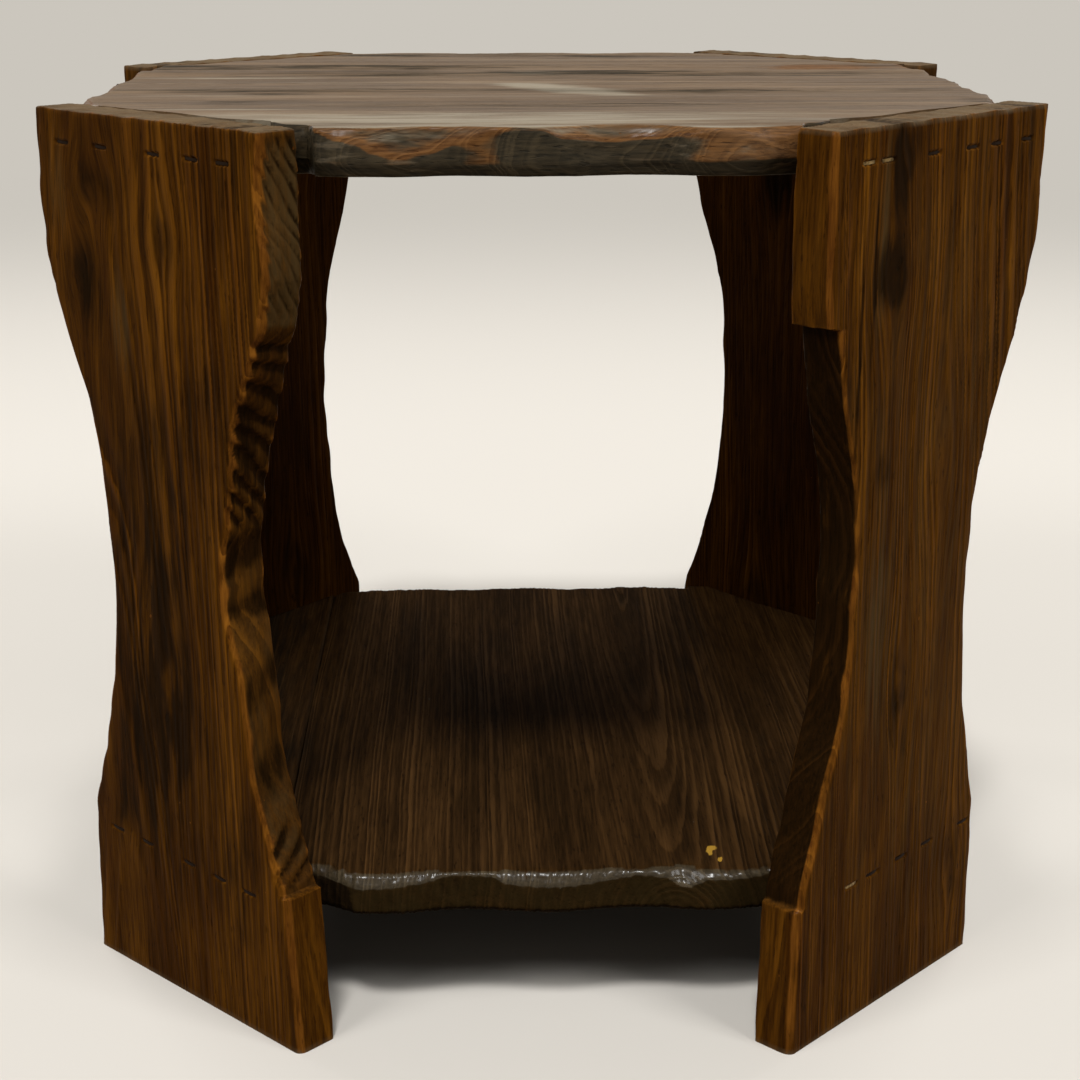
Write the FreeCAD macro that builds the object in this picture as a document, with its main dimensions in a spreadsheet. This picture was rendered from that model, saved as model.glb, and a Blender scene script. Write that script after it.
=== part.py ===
import FreeCAD, Part
import Sketcher
import os

# Rustic side table: four waisted plank legs set across the corners of an eight-sided top and shelf.
# Lengths are millimetres. The origin is on the floor, under the middle of the table.

SIZES = {
    "table_height": 508.0,
    "stock_thickness": 25.4,
    "board_width": 140.0,
    # Each leg's outer face stands this far from the table's upright axis.
    "leg_reach": 301.2,
    # Heights along a leg: the shoulder is measured down from the top, the others up from the floor.
    "shoulder_drop": 75.0,
    "waist_height": 255.0,
    "ankle_height": 97.0,
    # Length of the slanting sides of the top and the shelf that lie against the legs.
    "top_seat": 172.0,
    "shelf_seat": 144.0,
    "shelf_height": 94.0,
    # The open sides are hewn in lobes, and cut back at the corner beside each leg.
    "lobe_depth": 5.0,
    "corner_relief": 6.0,
    # The outer boards are as wide as this from the mean line of the open side to the glue line.
    "top_first_board": 117.0,
    "top_last_board": 126.7,
    "shelf_first_board": 98.0,
    "shelf_last_board": 125.8,
    # Staples of flat wire, driven through the legs into the edges of the boards.
    "staple_crown": 11.1,
    "staple_length": 38.0,
    "staple_wire": 1.4,
    "staple_wire_height": 1.6,
    "staple_margin": 8.0,
    "top_staple_drop": 18.0,
    "shelf_staple_drop": 8.0,
}

# Distance from a leg's middle line to its hewn edge, at these stations from the top down.
# The mouth edge is beside the front or back opening, the side edge beside the left or right one.
STATIONS = ("head", "shoulder", "chest", "ribs", "midriff", "waist", "hip", "calf", "ankle", "foot")
LEG_EDGES = {
    "front_left_side": (97, 96, 85, 58, 56, 50, 53, 65, 84, 87),
    "front_left_mouth": (97, 98, 88, 71, 59, 57, 70, 67, 95, 102),
    "front_right_mouth": (106, 107, 104, 84, 70, 75, 74, 93, 112, 115),
    "front_right_side": (95, 93, 81, 59, 45, 42, 42, 50, 65, 66),
    "back_right_side": (97, 95, 82, 60, 47, 44, 44, 53, 68, 70),
    "back_right_mouth": (103, 102, 92, 68, 68, 64, 68, 77, 98, 115),
    "back_left_mouth": (94, 90, 81, 60, 61, 53, 62, 62, 86, 92),
    "back_left_side": (96, 95, 84, 60, 55, 50, 54, 64, 83, 88),
}

# Each leg as seen from outside: its turn about the upright axis, then its left and right edges.
LEGS = {
    "front_left": (-45, "front_left_side", "front_left_mouth"),
    "front_right": (45, "front_right_mouth", "front_right_side"),
    "back_right": (135, "back_right_side", "back_right_mouth"),
    "back_left": (225, "back_left_mouth", "back_left_side"),
}

# Places of the staples across a leg, as seen from outside: -1 and 1 are the ends of the row.
TOP_STAPLES = {
    "front_left": (-0.91, -0.46, 0.13, 0.54, 0.86),
    "front_right": (-0.99, -0.78, -0.24, 0.23, 0.54, 0.94),
    "back_right": (-0.88, -0.4, 0.05, 0.47, 0.9),
    "back_left": (-0.93, -0.52, -0.02, 0.44, 0.85),
}
SHELF_STAPLES = {
    "front_left": (-0.95, -0.5, 0.12, 0.56, 0.97),
    "front_right": (-0.97, -0.65, -0.2, 0.22, 0.83),
    "back_right": (-0.9, -0.42, 0.08, 0.5, 0.92),
    "back_left": (-0.94, -0.48, 0.03, 0.45, 0.88),
}

# Sheet formulas that several pieces share.
LEG_INNER_REACH = "(sizes.leg_reach - sizes.stock_thickness)"
SHOULDER_HEIGHT = "(sizes.table_height - sizes.shoulder_drop)"
TOP_LEVEL = "(sizes.table_height - sizes.stock_thickness)"
SHELF_LEVEL = "(sizes.shelf_height - sizes.stock_thickness)"

UP = FreeCAD.Vector(0, 0, 1)
POLE_MARK = 3.0

document = FreeCAD.newDocument("side_table")
sheet = document.addObject("Spreadsheet::Sheet", "sizes")


def fill_sheet():
    """Write every driving size into the sheet, with its name as the cell's alias."""
    rows = dict(SIZES)
    for edge, widths in LEG_EDGES.items():
        for station, width in zip(STATIONS, widths):
            rows[f"{edge}_{station}"] = width
    for row, (name, value) in enumerate(rows.items(), start=1):
        sheet.set(f"A{row}", name)
        sheet.set(f"B{row}", str(value))
        sheet.setAlias(f"B{row}", name)
    document.recompute()


def evaluate(formula):
    """Value of a sheet formula, in millimetres."""
    return float(sheet.evalExpression(formula))


def pin_point(sketch, handle, formulas):
    """Hold a point of a sketch at the sheet formulas of its two coordinates."""
    origin = (-1, 1)
    upright_axis, level_axis = -2, -1
    for kind, axis, formula in zip(("DistanceX", "DistanceY"), (upright_axis, level_axis), formulas):
        value = evaluate(formula)
        if abs(value) < 1e-9:
            sketch.addConstraint(Sketcher.Constraint("PointOnObject", *handle, axis))
        elif value > 0:
            row = sketch.addConstraint(Sketcher.Constraint(kind, *origin, *handle, value))
            sketch.setExpression(f"Constraints[{row}]", formula)
        else:
            row = sketch.addConstraint(Sketcher.Constraint(kind, *handle, *origin, -value))
            sketch.setExpression(f"Constraints[{row}]", f"-({formula})")


def add_outline(body, plane_role, runs, degree):
    """Closed sketch of lines and curves. A run of one point is a line to the next run's first point,
    and a run of more points is a curve that they pull into shape, up to that same point."""
    sketch = body.newObject("Sketcher::SketchObject", f"{body.Name}_outline")
    plane = [feature for feature in body.Origin.OriginFeatures if feature.Role == plane_role][0]
    sketch.AttachmentSupport = [(plane, "")]
    sketch.MapMode = "FlatFace"
    starts = []
    ends = []
    for run, following in zip(runs, runs[1:] + runs[:1]):
        points = [FreeCAD.Vector(evaluate(x), evaluate(y), 0) for x, y in run + following[:1]]
        if len(run) == 1:
            line = sketch.addGeometry(Part.LineSegment(*points), False)
            handles = [(line, 1), (line, 2)]
        else:
            spline = Part.BSplineCurve(points, None, None, False, degree, None, False)
            curve = sketch.addGeometry(spline, False)
            handles = []
            for index, point in enumerate(points):
                mark = sketch.addGeometry(Part.Circle(point, UP, POLE_MARK), True)
                pole_link = "InternalAlignment:Sketcher::BSplineControlPoint"
                sketch.addConstraint(Sketcher.Constraint(pole_link, mark, 3, curve, index))
                sketch.addConstraint(Sketcher.Constraint("Weight", mark, 1.0))
                handles.append((mark, 3))
        for handle, formulas in zip(handles, run):
            pin_point(sketch, handle, formulas)
        starts.append(handles[0])
        ends.append(handles[-1])
    for end, start in zip(ends, starts[1:] + starts[:1]):
        sketch.addConstraint(Sketcher.Constraint("Coincident", *end, *start))
    return sketch


def pad_to_stock(body, sketch):
    """Give a sketched outline the thickness that all the boards share."""
    pad = body.newObject("PartDesign::Pad", f"{body.Name}_pad")
    pad.Profile = sketch
    pad.setExpression("Length", "sizes.stock_thickness")


def station_heights():
    """Formula of the height of each station of a leg, from the top down."""
    upper_steps = 4
    lower_steps = 3
    shoulder_to_waist = f"(sizes.waist_height - {SHOULDER_HEIGHT})"
    waist_to_ankle = "(sizes.ankle_height - sizes.waist_height)"
    heights = ["sizes.table_height"]
    for step in range(upper_steps):
        heights.append(f"({SHOULDER_HEIGHT} + ({step} / {upper_steps}) * {shoulder_to_waist})")
    for step in range(lower_steps + 1):
        heights.append(f"(sizes.waist_height + ({step} / {lower_steps}) * {waist_to_ankle})")
    return heights + ["0"]


def add_leg_blank(leg):
    """Plank leg: straight head and foot, drawn in between shoulder and ankle to a hewn waist."""
    turn, left_edge, right_edge = LEGS[leg]
    heights = station_heights()
    right = [(f"sizes.{right_edge}_{station}", height) for station, height in zip(STATIONS, heights)]
    left = [(f"-sizes.{left_edge}_{station}", height) for station, height in zip(STATIONS, heights)]
    left.reverse()
    body = document.addObject("PartDesign::Body", f"leg_{leg}_blank")
    runs = [right[:1], right[1:-2], right[-2:-1], right[-1:], left[:1], left[1:-2], left[-2:-1], left[-1:]]
    pad_to_stock(body, add_outline(body, "XZ_Plane", runs, 3))
    body.Placement = FreeCAD.Placement(FreeCAD.Vector(), FreeCAD.Rotation(UP, turn))
    body.setExpression("Placement.Base.x", f"{LEG_INNER_REACH} * sin({turn} deg)")
    body.setExpression("Placement.Base.y", f"-{LEG_INNER_REACH} * cos({turn} deg)")
    return body


def seat_end(seat):
    """Formulas of the end of a seat against a leg: its place along the open side, and outwards."""
    return f"(({LEG_INNER_REACH} - {seat} / 2) / sqrt(2))", f"(({LEG_INNER_REACH} + {seat} / 2) / sqrt(2))"


def open_edge(seat):
    """Formula of the distance from a slab's middle to the mean line of an open side."""
    return f"({seat_end(seat)[1]} + sizes.corner_relief)"


def open_side(seat):
    """Lobed open side of an eight-sided slab: its points as formulas along the side and outwards."""
    lobes = 3
    end_along, end_out = seat_end(seat)
    relief_along = f"({end_along} - sizes.corner_relief)"
    crest_out = f"({open_edge(seat)} + sizes.lobe_depth)"
    hollow_out = f"({open_edge(seat)} - sizes.lobe_depth)"
    points = [(f"-{end_along}", end_out), (f"-{relief_along}", end_out)]
    for half_lobe in range(1 - lobes, lobes):
        along = f"({half_lobe} / {lobes}) * {end_along}"
        points.append((along, crest_out if half_lobe % 2 == 0 else hollow_out))
    return points + [(relief_along, end_out), (end_along, end_out)]


def add_slab(name, seat, level):
    """Eight-sided slab: four lobed open sides and four straight ones against the legs."""
    body = document.addObject("PartDesign::Body", name)
    side = open_side(seat)
    front = [(along, f"-{out}") for along, out in side]
    right = [(out, along) for along, out in side]
    back = [(f"-({along})", out) for along, out in side]
    left = [(f"-{out}", f"-({along})") for along, out in side]
    runs = []
    for points in (front, right, back, left):
        runs += [points[:-1], points[-1:]]
    pad_to_stock(body, add_outline(body, "XY_Plane", runs, 2))
    body.setExpression("Placement.Base.z", level)
    return body


def add_boards(slab, names, seat, level, outer_boards, runs_along_x):
    """Four boards of a slab, sawn apart at its glue lines, the front or the left one first.
    The second has the full width of the stock, and the third is ripped to fill the slab."""
    span = f"({open_edge(seat)} + sizes.lobe_depth)"
    first_board, last_board = outer_boards
    first_line = f"({first_board} - {open_edge(seat)})"
    lines = [
        f"-{span}", first_line, f"({first_line} + sizes.board_width)",
        f"({open_edge(seat)} - {last_board})", span,
    ]
    across, along = ("Width", "Length") if runs_along_x else ("Length", "Width")
    boards = []
    for name, low, high in zip(names, lines, lines[1:]):
        strip = document.addObject("Part::Box", f"{name}_strip")
        strip.setExpression(across, f"{high} - {low}")
        strip.setExpression(along, f"2 * {span}")
        strip.setExpression("Height", "sizes.stock_thickness")
        strip.setExpression("Placement.Base.x", f"-{span}" if runs_along_x else low)
        strip.setExpression("Placement.Base.y", low if runs_along_x else f"-{span}")
        strip.setExpression("Placement.Base.z", level)
        board = document.addObject("Part::Common", f"{name}_blank")
        board.Base = slab
        board.Tool = strip
        boards.append((name, board))
    return boards


def add_staple_row(name, turn, places, seat, height):
    """Row of staples in one leg. Each is a flat-wire U, its crown flush with the leg's outer face."""
    crown = evaluate("sizes.staple_crown")
    length = evaluate("sizes.staple_length")
    wire = evaluate("sizes.staple_wire")
    wire_height = evaluate("sizes.staple_wire_height")
    row_half = evaluate(f"{seat} / 2 - sizes.staple_margin")
    outer_face = -evaluate("sizes.leg_reach")
    half = crown / 2
    profile = (
        (-half, 0), (half, 0), (half, length), (half - wire, length),
        (half - wire, wire), (wire - half, wire), (wire - half, length), (-half, length),
    )
    staples = []
    for place in places:
        shift = FreeCAD.Vector(place * row_half, outer_face, height - wire_height / 2)
        corners = [FreeCAD.Vector(x, y, 0) + shift for x, y in profile]
        wire_loop = Part.makePolygon(corners + corners[:1])
        staples.append(Part.Face(wire_loop).extrude(FreeCAD.Vector(0, 0, wire_height)))
    row = document.addObject("Part::Feature", name)
    row.Shape = Part.makeCompound(staples)
    row.Placement = FreeCAD.Placement(FreeCAD.Vector(), FreeCAD.Rotation(UP, turn))
    return row


def cut_staple_slots(name, blank, rows):
    """Finished piece of wood: its blank with a slot for each staple that enters it."""
    slots = document.addObject("Part::Compound", f"{name}_slots")
    slots.Links = rows
    piece = document.addObject("Part::Cut", name)
    piece.Base = blank
    piece.Tool = slots
    return piece


def build_table():
    """All the pieces of the table, as document objects."""
    top_height = evaluate("sizes.table_height - sizes.top_staple_drop")
    shelf_height = evaluate("sizes.shelf_height - sizes.shelf_staple_drop")
    top_rows = {}
    shelf_rows = {}
    for leg, (turn, _, _) in LEGS.items():
        top_rows[leg] = add_staple_row(
            f"staples_top_{leg}", turn, TOP_STAPLES[leg], "sizes.top_seat", top_height)
        shelf_rows[leg] = add_staple_row(
            f"staples_shelf_{leg}", turn, SHELF_STAPLES[leg], "sizes.shelf_seat", shelf_height)
    pieces = list(top_rows.values()) + list(shelf_rows.values())
    for leg in LEGS:
        rows = [top_rows[leg], shelf_rows[leg]]
        pieces.append(cut_staple_slots(f"leg_{leg}", add_leg_blank(leg), rows))
    top_slab = add_slab("top_slab", "sizes.top_seat", TOP_LEVEL)
    top_names = ("top_board_front", "top_board_mid_front", "top_board_mid_back", "top_board_back")
    top_outer = ("sizes.top_first_board", "sizes.top_last_board")
    top_boards = add_boards(top_slab, top_names, "sizes.top_seat", TOP_LEVEL, top_outer, True)
    shelf_slab = add_slab("shelf_slab", "sizes.shelf_seat", SHELF_LEVEL)
    shelf_names = ("shelf_board_left", "shelf_board_mid_left", "shelf_board_mid_right", "shelf_board_right")
    shelf_outer = ("sizes.shelf_first_board", "sizes.shelf_last_board")
    shelf_boards = add_boards(shelf_slab, shelf_names, "sizes.shelf_seat", SHELF_LEVEL, shelf_outer, False)
    for name, blank in top_boards:
        pieces.append(cut_staple_slots(name, blank, list(top_rows.values())))
    for name, blank in shelf_boards:
        pieces.append(cut_staple_slots(name, blank, list(shelf_rows.values())))
    return pieces


def check_document(pieces):
    """Stop if any object failed to build or any piece has no sound shape."""
    for item in document.Objects:
        if "Invalid" in item.State or "Error" in item.State:
            raise RuntimeError(f"{item.Label} did not build: {item.State}")
    for piece in pieces:
        if piece.Shape.isNull() or not piece.Shape.isValid() or not piece.Shape.Solids:
            raise RuntimeError(f"{piece.Label} has no sound shape")


fill_sheet()
table_pieces = build_table()
document.recompute()
check_document(table_pieces)
os.makedirs("parts", exist_ok=True)
for table_piece in table_pieces:
    table_piece.Shape.exportStep(f"parts/{table_piece.Label}.step")
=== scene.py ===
import math
import bpy
import numpy as np
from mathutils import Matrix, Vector
from mathutils.bvhtree import BVHTree


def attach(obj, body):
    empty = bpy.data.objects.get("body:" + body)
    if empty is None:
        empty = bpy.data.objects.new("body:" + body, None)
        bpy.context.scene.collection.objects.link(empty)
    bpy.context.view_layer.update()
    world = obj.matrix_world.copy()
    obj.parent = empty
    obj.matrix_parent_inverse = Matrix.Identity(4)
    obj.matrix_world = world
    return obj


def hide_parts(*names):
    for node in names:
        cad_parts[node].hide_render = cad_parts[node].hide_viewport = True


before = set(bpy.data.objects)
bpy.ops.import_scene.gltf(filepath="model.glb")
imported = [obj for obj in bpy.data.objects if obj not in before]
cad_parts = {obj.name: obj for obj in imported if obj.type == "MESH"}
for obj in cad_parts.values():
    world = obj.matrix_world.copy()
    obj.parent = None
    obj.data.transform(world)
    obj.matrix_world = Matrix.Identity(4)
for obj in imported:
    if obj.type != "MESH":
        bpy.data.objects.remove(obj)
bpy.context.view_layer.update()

# Legs
# Four waisted softwood planks that stand across the corners. Each was sawn to shape, hewn along its edges
# with a drawknife and a gouge, scorched, brushed along the grain, stained and lacquered.
MM = 0.001
LEFT, RIGHT, NEAR_END, FAR_END, INSIDE, OUTSIDE = range(6)


class Plank:
    """A board of the frame in its own directions: across the grain, along it, and out of its show face."""

    outline_stations = 260
    outline_inset = 0.2 * MM
    # Rays that look for the outline start this far from the middle of the table, in metres.
    clear_of_table = 1.0

    def __init__(self, node, along, outward):
        along, outward = Vector(along), Vector(outward).normalized()
        self.axes = np.array([along.cross(outward), along, outward])
        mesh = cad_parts[node].data
        points = np.empty(3 * len(mesh.vertices))
        mesh.vertices.foreach_get("co", points)
        self.points = points.reshape(-1, 3) @ self.axes.T
        self.low, self.high = self.points.min(axis=0), self.points.max(axis=0)
        self.middle = (self.low + self.high) / 2
        triangles = [list(face.vertices) for face in mesh.polygons]
        self.solid = BVHTree.FromPolygons(self.points.tolist(), triangles)

    def outline(self, side, first=None, last=None):
        """One edge of the outline as a function of the place along it, read from the solid."""
        axis, sign = divmod(side, 2)
        other = 1 - axis
        sign = 2 * sign - 1
        first = self.low[other] if first is None else first
        last = self.high[other] if last is None else last
        stations = np.linspace(first + self.outline_inset, last - self.outline_inset, self.outline_stations)
        start = np.empty(3)
        start[2] = self.middle[2]
        start[axis] = sign * self.clear_of_table
        direction = np.zeros(3)
        direction[axis] = -sign
        reached = []
        for station in stations:
            start[other] = station
            reached.append(self.solid.ray_cast(start, direction)[0][axis])
        return lambda places: np.interp(places, stations, reached)


def ease(places, table):
    """Smooth curve through a short table of places and values, level at each of them."""
    stations, values = np.array(table, float).T
    index = np.clip(np.searchsorted(stations, places) - 1, 0, len(stations) - 2)
    share = (places - stations[index]) / (stations[index + 1] - stations[index])
    share = np.clip(share, 0, 1)
    share = share * share * (3 - 2 * share)
    return values[index] + share * (values[index + 1] - values[index])


# A wander is a sum of waves, whose lengths lie round the span that is asked for.
WANDER_WAVES = 4
WANDER_SPREAD = (0.6, 1.7)
WANDER_HEIGHT = 2.2


def wander(places, span, seed):
    """Slow irregular wave between about -1 and 1 along a line, different for each seed."""
    chance = np.random.default_rng(seed)
    waves = chance.uniform(*WANDER_SPREAD, WANDER_WAVES) / span
    phases = chance.uniform(0, 2 * math.pi, WANDER_WAVES)
    total = sum(np.sin(2 * math.pi * wave * places + phase) for wave, phase in zip(waves, phases))
    return total / WANDER_HEIGHT


def gouge_hollow(turns):
    """Profile of round gouge cuts with sharp ridges between them, one cut to a turn."""
    return np.abs(np.sin(math.pi * turns))


# Shares of a chop's length: its slope, and the step at its end.
CHOP_SLOPE, CHOP_STEP = 0.7, 0.3


def chopped_step(turns):
    """Profile of slanting chops that each end in a step, one chop to a turn."""
    part = turns % 1
    part = np.minimum(part / CHOP_SLOPE, (1 - part) / CHOP_STEP)
    return part * part * (3 - 2 * part)


CUT_PROFILES = {"gouges": gouge_hollow, "chops": chopped_step}
# A cut of this depth in millimetres has as much painted shade in its hollow and as much painted highlight on
# its ridge as any deeper one.
FULL_CUT = 1.5
# In pitches: how far cuts stray from an even row, over what span, and how far a row runs out at its ends.
CUT_STRAY, CUT_STRAY_SPAN, CUT_RUN_OUT = 0.14, 5, 0.5


def tool_marks(places, depths, work, seed):
    """Cuts along an edge: their depth, and a point's level in them, from -1 on a ridge to 1 in a hollow,
    which sets the painted highlight and the painted shade.
    """
    total, level = np.zeros_like(places), np.zeros_like(places)
    for label, profile in CUT_PROFILES.items():
        for first, last, pitch, depth, slant in work.get(label, ()):
            slant = np.interp(places, (first, last), np.broadcast_to(slant, 2))
            stray = CUT_STRAY * pitch * wander(places, CUT_STRAY_SPAN * pitch, seed)
            ends = np.clip(np.minimum(places - first, last - places) / (CUT_RUN_OUT * pitch), 0, 1)
            hollow = profile((places + slant * depths + stray) / pitch)
            total += depth * hollow * ends
            level += (2 * hollow - 1) * ends * min(depth / FULL_CUT, 1)
    return total, level


def round_off(faces, radius):
    """Joins the distances from several faces into one, with their arrises rounded."""
    joined = faces[0]
    for face in faces[1:]:
        share = np.maximum(radius - np.abs(joined - face), 0) / radius
        joined = np.maximum(joined, face) + share * share * radius / 4
    return joined


class Carving:
    """A plank's outline with the tool work on its edges. Edge work is given in millimetres.

    Work on a side has gouges and chops (from, to, pitch, depth, slant or first and last slant), cuts (place,
    depth), twist (place, depth at the outer arris), bevels of its two arrises (place, inset, drop), where the
    face and the outer bevel are darkened by char and painted shade, lightened by wear and painted highlight,
    or made lighter by paler wood and painted sheen (place, strength), and where the face is plain, sawn and
    not hewn (place, strength)."""

    # The surface is sought by halving lines that run from a core to twice as far out as the grid.
    core_depth = 8.5 * MM
    line_reach = 2.0
    halvings = 13
    # Steps of the grid across, along and out of the plank, and along it at dents. Rows crowd at the ends.
    steps = (1.15 * MM, 3.8 * MM, 1.25 * MM)
    least_step = 0.4 * MM
    end_crowding = 5 * MM
    dent_step = 0.7 * MM
    dent_reach = 4.5 * MM
    # Spans of the ripples in a flat face, across and along it, how much they change, and how low they lie.
    ripple_spans = (75 * MM, 300 * MM)
    ripple_change = 0.5
    ripple_sink = 0.8
    # Arrises are worn more and less round over this span. Seeds 0 to 5 are those of the six sides.
    wear_span = 45 * MM
    wear_change = 0.5
    wear_seed = 7
    # Points this near to a glued face stay in it when the grain is brushed out.
    joint_reach = 0.4 * MM
    # How strongly painted shade darkens the hollows of the cuts and the lower bevels, how strongly painted
    # highlight lightens the ridges of the cuts, and how strongly wear and painted highlight lighten the rims
    # of the upper bevels.
    gouge_scorch = 0.7
    ridge_painted_highlight = 0.5
    under_scorch = 1.0
    rim_wear_and_highlight = 1.2
    rim_width = 0.5 * MM
    # Arrises are rubbed about this far in.
    arris_reach = 2.2 * MM
    # What an edge has for a mark that isn't named in its work.
    unmarked = ((0, 0), (1, 0))

    def __init__(self, plank, outlines, work, tight, dents=(), fine=(), worn_radius=1.8, ripple=0.0, seed=0):
        self.plank = plank
        self.outlines = outlines
        self.work = work
        self.tight = tight
        self.dents = dents
        self.fine = fine
        self.worn_radius = worn_radius * MM
        self.ripple = ripple * MM
        self.seed = seed

    def faces(self, points):
        """Signed distances of points from the plank's six faces and from its hewn bevels."""
        across, along, out = points.T
        low, high = self.plank.low, self.plank.high
        distances = [
            self.outlines[LEFT](along) - across, across - self.outlines[RIGHT](along),
            self.outlines[NEAR_END](across) - along, along - self.outlines[FAR_END](across),
            low[2] - out, out - high[2],
        ]
        bevels = {}
        for side, work in self.work.items():
            place = (along if side in (LEFT, RIGHT) else across) / MM
            cut, _ = tool_marks(place, (out - self.plank.middle[2]) / MM, work, self.seed + side)
            if "cuts" in work:
                cut = cut + np.interp(place, *np.array(work["cuts"], float).T)
            if "twist" in work:
                cut = cut + ease(place, work["twist"]) * (out - low[2]) / (high[2] - low[2])
            distances[side] = distances[side] + MM * cut
            for face in (INSIDE, OUTSIDE):
                if face in work:
                    inset = MM * ease(place, [(at, wide) for at, wide, _ in work[face]])
                    drop = MM * ease(place, [(at, deep) for at, _, deep in work[face]])
                    level = distances[side] / inset + distances[face] / drop + 1
                    bevels[side, face] = level / np.hypot(1 / inset, 1 / drop)
        if self.ripple:
            wave = wander(across, self.ripple_spans[0], self.seed)
            wave = wave * (1 + self.ripple_change * wander(along, self.ripple_spans[1], self.seed + 1))
            distances[OUTSIDE] = distances[OUTSIDE] + self.ripple * (self.ripple_sink + wave)
        for place, height, half_length, half_height, sunk in self.dents:
            beside = np.maximum(np.abs(across - place) - half_length, np.abs(along - height) - half_height)
            distances[OUTSIDE] = distances[OUTSIDE] + sunk * np.clip(0.5 - beside / MM, 0, 1)
        return distances, bevels

    def open_faces(self, distances, bevels):
        """Distances from the faces that aren't glued, and from the bevels."""
        open_sides = [distance for side, distance in enumerate(distances) if side not in self.tight]
        return open_sides + list(bevels.values())

    def depth(self, points):
        """Signed distance of points from the carved plank, negative inside. Glued faces don't count."""
        wear = wander(points[:, 0] + points[:, 1], self.wear_span, self.seed + self.wear_seed)
        radius = self.worn_radius * (1 + self.wear_change * wear)
        return round_off(self.open_faces(*self.faces(points)), radius)

    def spacing(self, axis):
        """Shares of a side at which the grid has points: closer at the ends along the grain, and at dents."""
        low, length = self.plank.low[axis], self.plank.high[axis] - self.plank.low[axis]
        even = np.linspace(0, 1, round(length / self.steps[axis]) + 1)
        if axis != 1:
            return even
        lines = [even - self.end_crowding / length * np.sin(2 * math.pi * even)]
        lines += [(np.arange(first, last, step) * MM - low) / length for first, last, step in self.fine]
        band = np.arange(-self.dent_reach, self.dent_reach, self.dent_step)
        lines += [(height + band - low) / length for height in {dent[1] for dent in self.dents}]
        rows = np.sort(np.concatenate(lines).clip(0, 1))
        rows = rows[np.append(True, np.diff(rows) > self.least_step / length)]
        rows[-1] = 1
        return rows

    def grid(self):
        """Surface points of a block of columns, rows and layers, as shares, and its faces."""
        spacings = [self.spacing(axis) for axis in range(3)]
        numbers = np.full([len(spacing) for spacing in spacings], -1)
        shell = np.ones_like(numbers, bool)
        shell[1:-1, 1:-1, 1:-1] = False
        numbers[shell] = np.arange(shell.sum())
        shares = np.stack([spacing[index] for spacing, index in zip(spacings, np.nonzero(shell))], axis=1)
        quads = []
        for axis in range(3):
            for end in (0, -1):
                sheet = np.take(numbers, end, axis)
                corners = [sheet[:-1, :-1], sheet[1:, :-1], sheet[1:, 1:], sheet[:-1, 1:]]
                if (end == 0) == (axis != 1):
                    corners.reverse()
                quads.append(np.stack([corner.ravel() for corner in corners], axis=1))
        return shares, np.concatenate(quads)

    def settle(self):
        """Points of the carved surface, found on lines from a core through the points of the grid."""
        low, high = self.plank.low, self.plank.high
        shares, quads = self.grid()
        across_share, along_share, out_share = shares.T
        rough_across = low[0] + across_share * (high[0] - low[0])
        near_end = self.outlines[NEAR_END](rough_across)
        far_end = self.outlines[FAR_END](rough_across)
        along = near_end + along_share * (far_end - near_end)
        left, right = self.outlines[LEFT](along), self.outlines[RIGHT](along)
        points = np.stack([left + across_share * (right - left), along,
                           low[2] + out_share * (high[2] - low[2])], axis=1)
        inset = [0 if side in self.tight else self.core_depth for side in range(6)]
        core = np.stack([np.clip(points[:, 0], left + inset[LEFT], right - inset[RIGHT]),
                         np.clip(points[:, 1], near_end + inset[NEAR_END], far_end - inset[FAR_END]),
                         np.clip(points[:, 2], low[2] + inset[INSIDE], high[2] - inset[OUTSIDE])], axis=1)
        lines = points - core
        inner, outer = np.zeros(len(points)), np.full(len(points), self.line_reach)
        for _ in range(self.halvings):
            middle = (inner + outer) / 2
            inside = self.depth(core + middle[:, None] * lines) < 0
            inner = np.where(inside, middle, inner)
            outer = np.where(inside, outer, middle)
        return core + inner[:, None] * lines, quads

    def marks(self, points, distances, bevels, patches):
        """How strongly each point is marked in each of the ways that the finish shows."""
        bevel = np.max(list(bevels.values()), axis=0)
        ends = np.maximum(distances[NEAR_END], distances[FAR_END])
        show = np.maximum(distances[INSIDE], distances[OUTSIDE])
        long_sides = np.maximum(distances[LEFT], distances[RIGHT])
        hewn = np.max([distances[side] for side in self.work], axis=0)
        second_nearest = np.sort(self.open_faces(distances, bevels), axis=0)[-2]
        values = {
            "arris": np.exp(second_nearest / self.arris_reach),
            "hewn": np.clip(0.5 + (hewn - np.maximum(show, bevel)) / (2 * MM), 0, 1),
            "end_grain": np.clip(0.5 + (ends - np.maximum(show, long_sides)) / MM, 0, 1),
        }
        for label in ("scorch", "pale_and_sheen", "worn", "brushed"):
            values[label] = patch_strength(points, patches.get(label, ()))
        for side, work in self.work.items():
            place = points[:, 1 if side in (LEFT, RIGHT) else 0] / MM
            on_face = values["hewn"] * (distances[side] == hewn)
            values["hewn"] = values["hewn"] - on_face * ease(place, work.get("plain", self.unmarked))
            on_bevel = {face: np.clip(0.5 + (bevels[side, face] - np.max(distances, axis=0)) / MM, 0, 1)
                        for face in (INSIDE, OUTSIDE) if face in work}
            # Lower bevels face downwards and are darkened as painted shade.
            values["scorch"] += on_bevel.get(INSIDE, 0) * self.under_scorch
            if OUTSIDE in work:
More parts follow.
